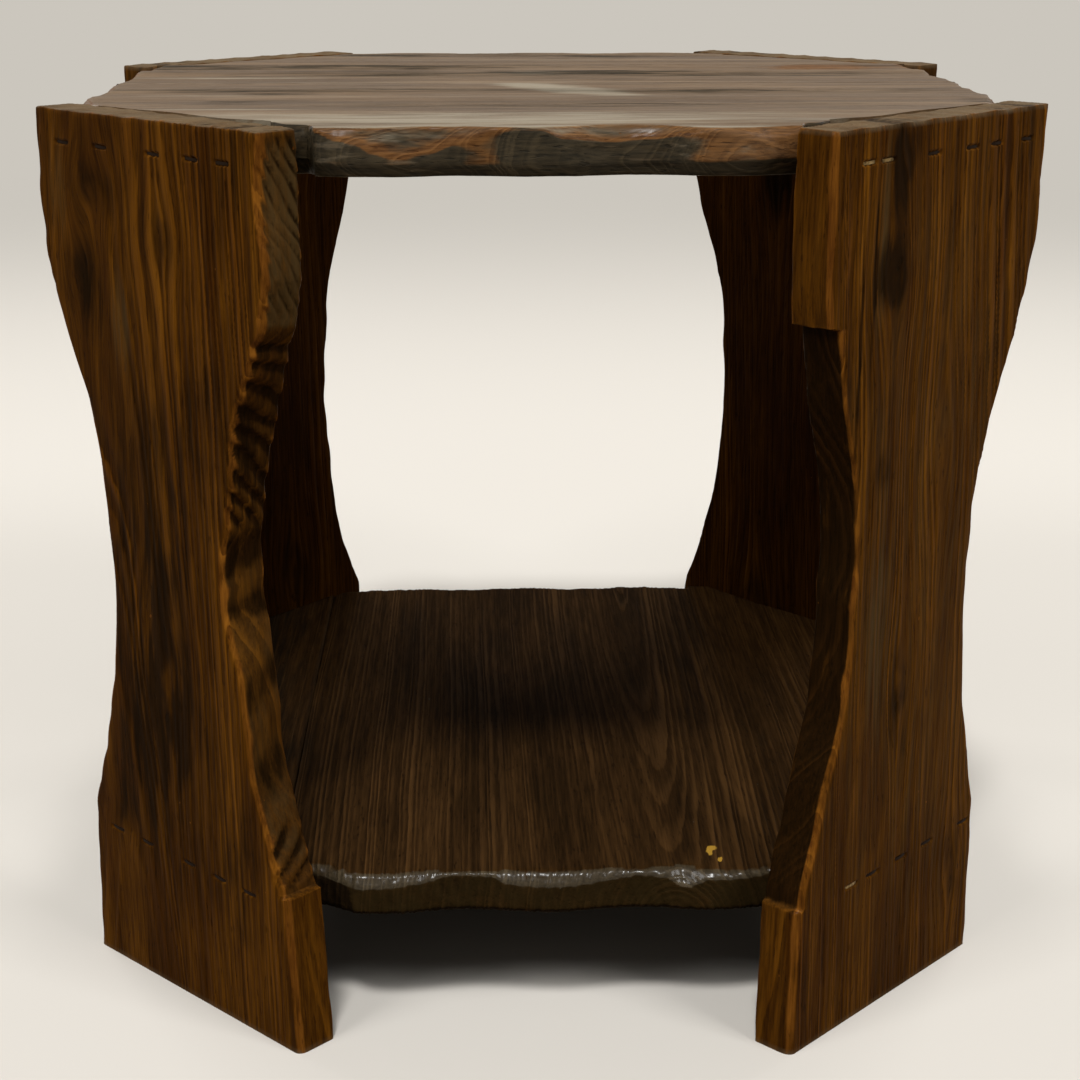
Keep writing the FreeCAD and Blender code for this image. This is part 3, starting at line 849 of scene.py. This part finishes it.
# How much of the steel is hidden, on most staples and on bright ones.
STAPLE_TARNISH = 0.95
BRIGHT_TARNISH = 0.42
BRIGHT_STEEL = tone(160, 132, 84)
STAINED_STEEL = tone(30, 19, 10)
# How many staples of a row are still bright, from its left end.
STAPLES_BRIGHT = {"front_left": {"top": 0, "shelf": 0}, "front_right": {"top": 2, "shelf": 1},
                  "back_right": {"top": 1, "shelf": 0}, "back_left": {"top": 0, "shelf": 1}}


def staple_row_tree():
    """Staples at the points of a row: flat wire with a bowed crown and two legs, each tilted a little."""
    tree = bpy.data.node_groups.new("staple_row", "GeometryNodeTree")
    add_sockets(tree, (
        ("Places", "INPUT", "Geometry", None),
        ("Turn", "INPUT", "Float", 0.0),
        ("Crown Length", "INPUT", "Float", 0.011),
        ("Wire Height", "INPUT", "Float", 0.0016),
        ("Bright", "INPUT", "Int", 0),
        ("Seed", "INPUT", "Int", 0),
        ("Finish", "INPUT", "Material", None),
        ("Staples", "OUTPUT", "Geometry", None),
    ))
    given = tree.nodes.new("NodeGroupInput").outputs
    half = math_node(tree, "MULTIPLY_ADD", given["Crown Length"], 0.5, -STAPLE_WIRE / 2)
    bends, legs = [], []
    for end in (-1, 1):
        side = math_node(tree, "MULTIPLY", half, end)
        bend, point = (set_node(tree, "ShaderNodeCombineXYZ", {"X": side, "Y": depth}).outputs[0]
                       for depth in (STAPLE_WIRE / 2 + STAPLE_BOW, STAPLE_LENGTH))
        leg = set_node(tree, "GeometryNodeCurvePrimitiveLine", {"Start": bend, "End": point})
        bends.append(bend)
        legs.append(leg.outputs["Curve"])
    crown = set_node(tree, "GeometryNodeCurveArc", {
        "Resolution": STAPLE_CROWN_POINTS, "Start": bends[0], "Middle": (0, STAPLE_WIRE / 2, 0),
        "End": bends[1]}, mode="POINTS")
    wires = set_node(tree, "GeometryNodeJoinGeometry")
    for path in [crown.outputs["Curve"]] + legs:
        tree.links.new(path, wires.inputs["Geometry"])
    section = set_node(tree, "GeometryNodeCurvePrimitiveQuadrilateral",
                       {"Width": STAPLE_WIRE, "Height": given["Wire Height"]})
    staple = set_node(tree, "GeometryNodeCurveToMesh", {
        "Curve": wires.outputs["Geometry"], "Profile Curve": section.outputs["Curve"], "Fill Caps": True})
    tilt = set_node(tree, "FunctionNodeRandomValue", {2: -STAPLE_TILT, 3: STAPLE_TILT, "Seed": given["Seed"]})
    turn = set_node(tree, "ShaderNodeCombineXYZ", {"Y": tilt.outputs[1], "Z": given["Turn"]})
    order = tree.nodes.new("GeometryNodeInputIndex").outputs["Index"]
    dull = math_node(tree, "GREATER_THAN", math_node(tree, "ADD", order, 0.5), given["Bright"])
    dull = math_node(tree, "MULTIPLY_ADD", dull, STAPLE_TARNISH - BRIGHT_TARNISH, BRIGHT_TARNISH)
    dulled = set_node(tree, "GeometryNodeStoreNamedAttribute", {
        "Geometry": given["Places"], "Name": "tarnish", "Value": dull}, data_type="FLOAT")
    row = set_node(tree, "GeometryNodeInstanceOnPoints", {
        "Points": dulled.outputs["Geometry"], "Instance": staple.outputs["Mesh"],
        "Rotation": turn.outputs[0]})
    end_tree(tree, row.outputs["Instances"], given["Finish"], "Staples")
    return tree


def staple_steel():
    """Drawn steel wire under a film of stain, rubbed bright in spots."""
    material, tree = new_finish("stained_staple_steel")
    place = set_node(tree, "ShaderNodeTexCoord").outputs["Object"]
    spots = noise_value(tree, place, (420, 420, 420), 3.0, 0.6, 2.0)
    drawn = noise_value(tree, place, (300, 300, 3000), 2.0, 0.5, 3.0)
    film = step_node(tree, math_node(tree, "ADD", read_attribute(tree, "tarnish"), spots), 0.7, 1.2)
    bump = set_node(tree, "ShaderNodeBump", {"Strength": 0.4, "Distance": 0.1 * MM, "Height": drawn})
    surface = set_node(tree, "ShaderNodeBsdfPrincipled", {
        "Base Color": mix_colour(tree, film, BRIGHT_STEEL, STAINED_STEEL),
        "Metallic": step_node(tree, film, 0.2, 0.8, 1.0, 0.0),
        "Roughness": step_node(tree, film, 0.0, 1.0, 0.32, 0.6),
        "Specular IOR Level": 0.05, "Normal": bump.outputs["Normal"]})
    set_node(tree, "ShaderNodeOutputMaterial", {"Surface": surface.outputs["BSDF"]})
    return material


staple_row = staple_row_tree()
staple_finish = staple_steel()
for order, (corner, bright) in enumerate(STAPLES_BRIGHT.items()):
    for row in STAPLE_ROWS:
        crowns = staple_crowns(row, corner)
        plank = Plank(f"leg_{corner}", (0, 0, 1), leg_outward(corner))
        centres = np.array([crown[:3] for crown in crowns]) - (0, 0, STAPLE_SUNK)
        places = bpy.data.meshes.new(f"staple_places_{row}_{corner}")
        places.from_pydata((centres @ plank.axes).tolist(), [], [])
        _, _, _, half_length, half_height = crowns[0]
        staples = grow_object(f"wire_staples_{row}_{corner}", places, staple_row, {
            "Turn": math.radians(LEG_TURNS[corner]), "Crown Length": 2 * half_length,
            "Wire Height": 2 * half_height, "Bright": bright[row], "Seed": order, "Finish": staple_finish})
        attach(staples, "root")
        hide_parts(f"staples_{row}_{corner}")

# Top
# Four softwood boards glued edge to edge, with the grain from left to right. The open edges are hewn in
# scoops, and the slanting sides are glued and stapled between the legs. The lacquer is greyed and satin.
# The lobes of the open edges are less deep than this.
LOBE_DEPTH = 16 * MM
# Radius to which a board's arrises are worn, in millimetres.
BOARD_WORN_RADIUS = 1.0


def board_outlines(plank, open_sides):
    """The four edges of a board of an eight-sided slab. Open long edges stop at the slanting sides."""
    low, high = plank.low, plank.high
    clear_low, clear_high = low + LOBE_DEPTH, high - LOBE_DEPTH
    first = clear_low[0] if LEFT in open_sides else low[0]
    last = clear_high[0] if RIGHT in open_sides else high[0]
    ends = [plank.outline(end, first, last) for end in (NEAR_END, FAR_END)]
    sides = []
    for side, edge in ((LEFT, first), (RIGHT, last)):
        if side in open_sides:
            near, far = (float(end(edge)) for end in ends)
            sides.append(plank.outline(side, near + MM, far - MM))
        else:
            sides.append(plank.outline(side, clear_low[1], clear_high[1]))
    return sides + ends


def add_board(node, along, open_sides, work, tight, marks, growth, fine, ripple, seed):
    """One board of the top or the shelf, carved, brushed and finished, in the place of its node."""
    plank = Plank(node, along, (0, 0, 1))
    carving = Carving(plank, board_outlines(plank, open_sides), work, tight=tight, fine=fine,
                      worn_radius=BOARD_WORN_RADIUS, ripple=ripple, seed=seed)
    mesh = carving.mesh(f"{node}_blank", marks)
    board = grow_object(f"brushed_{node}", mesh, brushed_plank, growth)
    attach(board, "root")
    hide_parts(node)


top_finish = wood_finish("greyed_top_wood", {
    "early_dark": (67, 49, 31), "early_light": (98, 75, 50),
    "late_dark": (92, 70, 47), "late_light": (126, 100, 70),
    "scorch_and_shade_dark": (8, 6, 2), "scorch_and_shade_light": (70, 59, 41),
    "bare_and_highlight_dark": (70, 42, 18), "bare_and_highlight_light": (142, 98, 54),
    # The light tone serves the chalky smudge and also the painted glints and painted sheen.
    "hewn": (34, 26, 15), "end": (48, 38, 26), "pale_and_sheen": (154, 145, 125),
}, ring_contrast=0.35, rubbing=0.2, gloss=0.45, shine=0.03, lacquer=0.25, polish=0.02, seed=5.0)

# Bevels of the arrises at the open edges, from left to right or from back to front: place, inset and drop.
TOP_FRONT_SCOOPS = ((-134, 2, 2), (-119, 2, 2), (-107, 4, 6), (-99, 4, 8), (-90, 5, 12), (-79, 5, 15),
                    (-63, 5, 13), (-46, 4, 8), (-30, 2, 2), (-6, 2, 2), (6, 4, 6), (30, 5, 8), (52, 4, 6.5),
                    (66, 4, 4.5), (82, 2, 2), (94, 3, 4), (108, 4, 7), (119, 4, 5), (128, 2, 2), (134, 2, 2))
TOP_FRONT_UNDER = ((-134, 4, 7), (0, 3, 6), (134, 5, 9))
TOP_BACK_SCOOPS = ((-134, 4, 4), (-100, 5, 10), (-60, 4, 4), (-22, 6, 12), (20, 4, 4), (62, 6, 9), (98, 4, 5),
                   (134, 4, 4))
TOP_LEFT_SCOOPS = ((-145, 4, 4), (-105, 5, 9), (-62, 4, 4), (-20, 6, 11), (28, 4, 4), (70, 5, 9), (110, 4, 4),
                   (145, 5, 7))
TOP_RIGHT_SCOOPS = ((-145, 4, 4), (-88, 6, 10), (-40, 4, 4), (8, 5, 9), (52, 4, 4), (96, 6, 12), (145, 4, 4))
UNDER_ARRIS = ((-300, 2, 2), (0, 3, 3), (300, 2, 2))
SLAB_WEAR = ((-260, 0.6), (-90, 0.8), (-30, 0.3), (60, 0.8), (130, 0.4), (260, 0.6))
EDGE_GOUGE_DEPTH = 0.9


def hewn_edge(scoops, half_length, pitch, slant, **wear):
    """Open edge of a slab, gouged from end to end, with scoops along its upper arris."""
    gouges = ((-half_length, half_length, pitch, EDGE_GOUGE_DEPTH, slant),)
    return {OUTSIDE: scoops, INSIDE: UNDER_ARRIS, "gouges": gouges, **wear}


top_sides = {NEAR_END: hewn_edge(TOP_LEFT_SCOOPS, 260, 29, 0.4, bevel_worn=SLAB_WEAR),
             FAR_END: hewn_edge(TOP_RIGHT_SCOOPS, 260, 27, -0.4, bevel_worn=SLAB_WEAR)}
top_back = {LEFT: hewn_edge(TOP_BACK_SCOOPS, 134, 30, 0.5, bevel_worn=SLAB_WEAR)}
top_front = {RIGHT: {
    OUTSIDE: TOP_FRONT_SCOOPS, INSIDE: TOP_FRONT_UNDER, "gouges": ((-118, 74, 37, 0.6, 0.6),),
    "cuts": ((-134, 9), (-122, 9), (-119, 0), (-14, 0), (0, 2), (22, 2.5), (50, 1.5), (80, 0), (126, 0),
             (128, 7), (134, 7)),
    "twist": ((-118, 0), (-80, 3), (-44, 0), (-16, 1), (25, 4), (60, 3), (82, 1), (124, 1)),
    # At both ends, in the recesses beside the legs, the face and its bevels are darkened as painted shade.
    "scorch": ((-134, 1.4), (-121, 1.4), (-117, 0.85), (-95, 0.9), (-56, 0.9), (-40, 0.75), (-28, 0.75),
               (-16, 1.1), (46, 1.1), (84, 0.45), (100, 0.35), (124, 0.3), (129, 1.4), (134, 1.4)),
    "worn": ((-120, 0.2), (-96, 0.1), (-52, 0), (-40, 0.85), (-30, 0.85), (-20, 0), (55, 0), (84, 1.1),
             (118, 1.25), (124, 1.4), (128, 0)),
    "bevel_scorch": ((-122, 1.4), (-118, 0.3), (-84, 0.75), (-60, 0.75), (-30, 0.35), (-16, 0.6), (0, 0.25),
                     (30, 0.6), (66, 0.5), (84, 0.25), (126, 0.25), (129, 1.4)),
    "bevel_worn": ((-121, 0), (-116, 0.9), (-40, 0.9), (-26, 0.7), (-18, 0.2), (20, 0.6), (66, 0.7),
                   (86, 0.9), (124, 1.0), (128, 0)),
    # The light spots on the scoops are painted glints.
    "bevel_pale_and_sheen": ((-118, 0), (-84, 0.3), (-78, 0.3), (-70, 0), (-12, 0), (-3, 0.8), (6, 0.7), (14, 0),
                   (84, 0)),
}}
# What marks the whole face: darker streaks from left to right, thin paler lines, a chalky smudge, places
# rubbed through, and long light streaks and a broad light patch near the front that are painted sheen. An
# oval is given by its place from back to front and from left to right, half sizes and strength.
TOP_MARKS = {
    "scorch": ((145, -10, 24, 260, 0.4), (52, -150, 18, 170, 0.5), (62, 160, 18, 150, 0.4),
               (-62, 30, 30, 280, 0.5), (-125, -140, 24, 180, 0.45), (-232, 0, 26, 220, 0.45)),
    # Among these, the long streaks and the broad patch at the front left are painted sheen.
    "pale_and_sheen": ((18, -10, 12, 16, 0.6), (38, 8, 17, 21, 0.8), (60, 26, 16, 21, 0.75), (82, 46, 12, 17, 0.55),
             (-73, 0, 11, 18, 0.6), (264, 0, 10, 160, 0.6), (230, 0, 12, 200, 0.4), (200, 0, 16, 220, 0.4),
             (96, -60, 10, 200, 0.25), (0, -40, 16, 240, 0.25), (-186, 0, 14, 220, 0.25),
             (250, -110, 45, 190, 0.45), (228, -108, 5, 40, 0.5), (168, -178, 4, 45, 0.6),
             (83, -200, 3.5, 35, 0.6), (-30, -190, 4, 65, 0.6)),
    "brushed": ((290, 28, 9, 60, 3.0), (290, 0, 9, 150, 0.8)),
    "worn": ((87, -86, 3, 5, 1.4), (-110, 195, 34, 60, 1.3), (-180, 235, 18, 34, 1.0)),
}
# The front board was cut nearer to the middle of a slow-grown log, so its rings are closer and lean more.
TOP_GROWTH = {"Pith": (-0.45, 0, -0.03), "Pith Lean": (0.03, 0, 0.02), "Ring Width": 0.002, "Ring Sway": 0.04,
              "Brushed Depth": 0.00014, "Seed": 20.0, "Finish": top_finish}
FRONT_GROWTH = {**TOP_GROWTH, "Pith": (-0.45, 0, 0.12), "Pith Lean": (-0.15, 0, 0.02), "Ring Width": 0.0015,
                "Brushed Depth": 0.00008}
# Each board's open long edges, work, glued faces, growth and fine rows of points.
TOP_BOARDS = (
    ("top_board_front", {RIGHT}, top_front, (LEFT, NEAR_END, FAR_END), FRONT_GROWTH, ((-134, 134, 1.8),)),
    ("top_board_mid_front", set(), top_sides, (LEFT, RIGHT), TOP_GROWTH, ()),
    ("top_board_mid_back", set(), top_sides, (LEFT, RIGHT), TOP_GROWTH, ()),
    ("top_board_back", {LEFT}, top_back, (RIGHT, NEAR_END, FAR_END), TOP_GROWTH, ()),
)
for node, open_sides, work, tight, growth, fine in TOP_BOARDS:
    add_board(node, (1, 0, 0), open_sides, work, tight, TOP_MARKS, growth, fine,
              ripple=0.5, seed=50)

# Shelf
# Four more boards, glued edge to edge with the grain from front to back, so that the front edge is end grain.
# It is the darkest piece: brushed deeply, and polished so that the hewn front arris shines.
shelf_finish = wood_finish("dark_shelf_wood", {
    "early_dark": (20, 11, 3), "early_light": (35, 21, 7),
    "late_dark": (50, 32, 13), "late_light": (74, 50, 24),
    "scorch_and_shade_dark": (17, 11, 5), "scorch_and_shade_light": (34, 24, 13),
    # The rubbed tones are grey, so the polished front arris band is partly painted sheen.
    "bare_and_highlight_dark": (46, 39, 28), "bare_and_highlight_light": (77, 67, 50),
    "hewn": (40, 31, 15), "end": (40, 31, 15), "pale_and_sheen": (190, 146, 54),
}, ring_contrast=0.8, rubbing=0.0, gloss=0.5, shine=0.005, lacquer=0.004, polish=0.33, seed=9.0)

SHELF_FRONT_BAND = ((-150, 4, 4), (-112, 5, 7), (-95, 5, 7), (-72, 4, 5), (-58, 2, 2), (-34, 2, 2),
                    (-24, 5, 6), (-8, 5, 7), (10, 5, 7), (32, 4, 5), (52, 3, 3), (64, 4, 4), (76, 8, 9),
                    (90, 4, 4), (150, 3, 3))
SHELF_OTHER_SCOOPS = ((-150, 3, 3), (-90, 5, 8), (-40, 3, 4), (10, 5, 9), (60, 3, 4), (105, 5, 7),
                      (150, 3, 3))
shelf_front = {
    OUTSIDE: SHELF_FRONT_BAND, INSIDE: UNDER_ARRIS, "gouges": ((-143, 143, 8, 0.5, 0.35),),
    "cuts": ((-143, 7), (-124, 6), (-110, 0), (143, 0)),
    # The arris band is rubbed and polished, and partly painted sheen through its grey tone.
    "bevel_worn": ((-143, 0.6), (-112, 1.2), (90, 1.2), (143, 0.6)),
    "scorch": ((-143, 1.2), (-122, 1.2), (-108, 0), (143, 0)),
}
shelf_ends = {NEAR_END: shelf_front, FAR_END: hewn_edge(SHELF_OTHER_SCOOPS, 143, 24, 0.4)}
shelf_side = hewn_edge(SHELF_OTHER_SCOOPS, 143, 28, 0.5)
# The glue line on the left is open a little, and the board beyond it is darker.
OPEN_JOINT = {OUTSIDE: ((-300, 2, 1), (300, 2, 1))}
# Ovals are placed from left to right and from front to back.
SHELF_MARKS = {
    "pale_and_sheen": ((92, -226, 1.2, 3.2, 2.5), (94, -222, 2, 1.6, 2.5), (97, -236, 0.8, 2, 2.0)),
    "scorch": ((-60, 60, 60, 120, 0.1), (90, 40, 40, 150, 0.15), (-215, 0, 45, 300, 0.8)),
    "brushed": ((-85, -60, 55, 220, 1.0), (110, -180, 30, 60, 0.8), (71, -287, 60, 8, 2.5),
                (-30, -287, 120, 8, 1.2)),
}
SHELF_GROWTH = {"Pith": (0.071, 0, -0.005), "Pith Lean": (0.0, 0, 0.04), "Ring Width": 0.0036,
                "Ring Sway": 0.016, "Brushed Depth": 0.0005, "Seed": 40.0, "Finish": shelf_finish}
SHELF_BOARDS = (
    ("shelf_board_left", {LEFT}, {LEFT: shelf_side, RIGHT: OPEN_JOINT}, (NEAR_END, FAR_END)),
    ("shelf_board_mid_left", set(), {**shelf_ends, LEFT: OPEN_JOINT}, (RIGHT,)),
    ("shelf_board_mid_right", set(), shelf_ends, (LEFT, RIGHT)),
    ("shelf_board_right", {RIGHT}, {RIGHT: shelf_side, NEAR_END: shelf_front}, (LEFT, FAR_END)),
)
for node, open_sides, work, tight in SHELF_BOARDS:
    add_board(node, (0, 1, 0), open_sides, work, tight, SHELF_MARKS, SHELF_GROWTH, (),
              ripple=0.3, seed=90)

# Floor, light and camera
# A plain pale floor that fades into a pale backdrop, a soft sun over the camera, and four lamps round the
# table. The camera stands in front of the table and looks down on it.
# The camera's place in metres, turn in degrees and lens in millimetres.
CAMERA_PLACE = (-0.03647, -1.29116, 0.61451)
CAMERA_TURN = (72.65, 0.0, -1.67)
CAMERA_LENS = 68.16
# The floor looks pale, and throws back as little light as a wooden one. It fades between two distances.
FLOOR_COLOUR = tone(208, 203, 195)
FLOOR_SHEEN = tone(120, 108, 92)
FLOOR_HALF = 6
FLOOR_FADE = (1.0, 3.5)
BACKDROP_COLOUR = tone(203, 198, 189)
# Share of its brightness with which the backdrop lights the table.
BACKDROP_LIGHT = 0.26
SHADE = (0, 0, 0, 1)
LAMP_TARGET = (0, 0, 0.25)
# Each lamp's name, place, size in metres and power in watts.
LAMPS = (
    ("front_left", (-1.8, -1.7, 2.4), 1.0, 34),
    ("front_right", (1.8, -1.7, 2.4), 1.0, 41),
    ("back_right", (1.9, 2.0, 2.0), 1.4, 32),
    ("back_left", (-1.9, 2.0, 2.0), 1.4, 32),
)
SUN_STRENGTH = 1.95
SUN_ANGLE = math.radians(8)
SUN_DIRECTION = (0.08, 0.47, -0.88)


def seen_directly(tree):
    """1 where the camera or a mirroring surface looks at a backdrop, 0 where it only throws light."""
    path = set_node(tree, "ShaderNodeLightPath").outputs
    seen = math_node(tree, "MAXIMUM", path["Is Camera Ray"], path["Is Glossy Ray"])
    return math_node(tree, "MAXIMUM", seen, path["Is Transmission Ray"])


corners = [(-1, -1), (1, -1), (1, 1), (-1, 1)]
floor_mesh = bpy.data.meshes.new("floor")
floor_mesh.from_pydata([(FLOOR_HALF * x, FLOOR_HALF * y, 0) for x, y in corners], [], [(0, 1, 2, 3)])
floor = bpy.data.objects.new("floor", floor_mesh)
bpy.context.scene.collection.objects.link(floor)
floor_finish = bpy.data.materials.new("pale_floor")
floor_finish.use_nodes = True
floor_tree = floor_finish.node_tree
floor_surface = floor_tree.nodes["Principled BSDF"]
floor_surface.inputs["Roughness"].default_value = 0.75
floor_surface.inputs["Specular IOR Level"].default_value = 0.0
seen = seen_directly(floor_tree)
floor_place = set_node(floor_tree, "ShaderNodeTexCoord").outputs["Object"]
far = step_node(floor_tree, vector_node(floor_tree, "LENGTH", floor_place), *FLOOR_FADE)
faded = math_node(floor_tree, "MULTIPLY", seen, far)
near_colour = mix_colour(floor_tree, seen, FLOOR_SHEEN, FLOOR_COLOUR)
floor_colour = mix_colour(floor_tree, faded, near_colour, SHADE)
far_glow = mix_colour(floor_tree, faded, SHADE, BACKDROP_COLOUR)
floor_tree.links.new(floor_colour, floor_surface.inputs["Base Color"])
floor_tree.links.new(far_glow, floor_surface.inputs["Emission Color"])
floor_surface.inputs["Emission Strength"].default_value = 1.0
floor_mesh.materials.append(floor_finish)

world = bpy.data.worlds.new("studio")
bpy.context.scene.world = world
world.use_nodes = True
world_tree = world.node_tree
backdrop = world_tree.nodes["Background"]
backdrop.inputs["Color"].default_value = BACKDROP_COLOUR
shown = set_node(world_tree, "ShaderNodeMapRange", {
    "Value": seen_directly(world_tree), "To Min": BACKDROP_LIGHT, "To Max": 1.0})
world_tree.links.new(shown.outputs["Result"], backdrop.inputs["Strength"])


def add_light(name, kind, place, direction, power):
    """Light of a kind, at a place and pointing in a direction."""
    light = bpy.data.objects.new(name, bpy.data.lights.new(name, kind))
    light.data.energy = power
    light.location = place
    light.rotation_euler = direction.to_track_quat("-Z", "Y").to_euler()
    bpy.context.scene.collection.objects.link(light)
    return light.data


for name, place, size, power in LAMPS:
    lamp = add_light(name, "AREA", place, Vector(LAMP_TARGET) - Vector(place), power)
    lamp.size = size
over_camera = add_light("over_camera", "SUN", (0, 0, 0), Vector(SUN_DIRECTION), SUN_STRENGTH)
over_camera.angle = SUN_ANGLE

camera_data = bpy.data.cameras.new("camera")
camera_data.lens = CAMERA_LENS
camera = bpy.data.objects.new("camera", camera_data)
camera.location = CAMERA_PLACE
camera.rotation_euler = [math.radians(angle) for angle in CAMERA_TURN]
bpy.context.scene.collection.objects.link(camera)
bpy.context.scene.camera = camera
bpy.context.scene.view_settings.view_transform = "Standard"
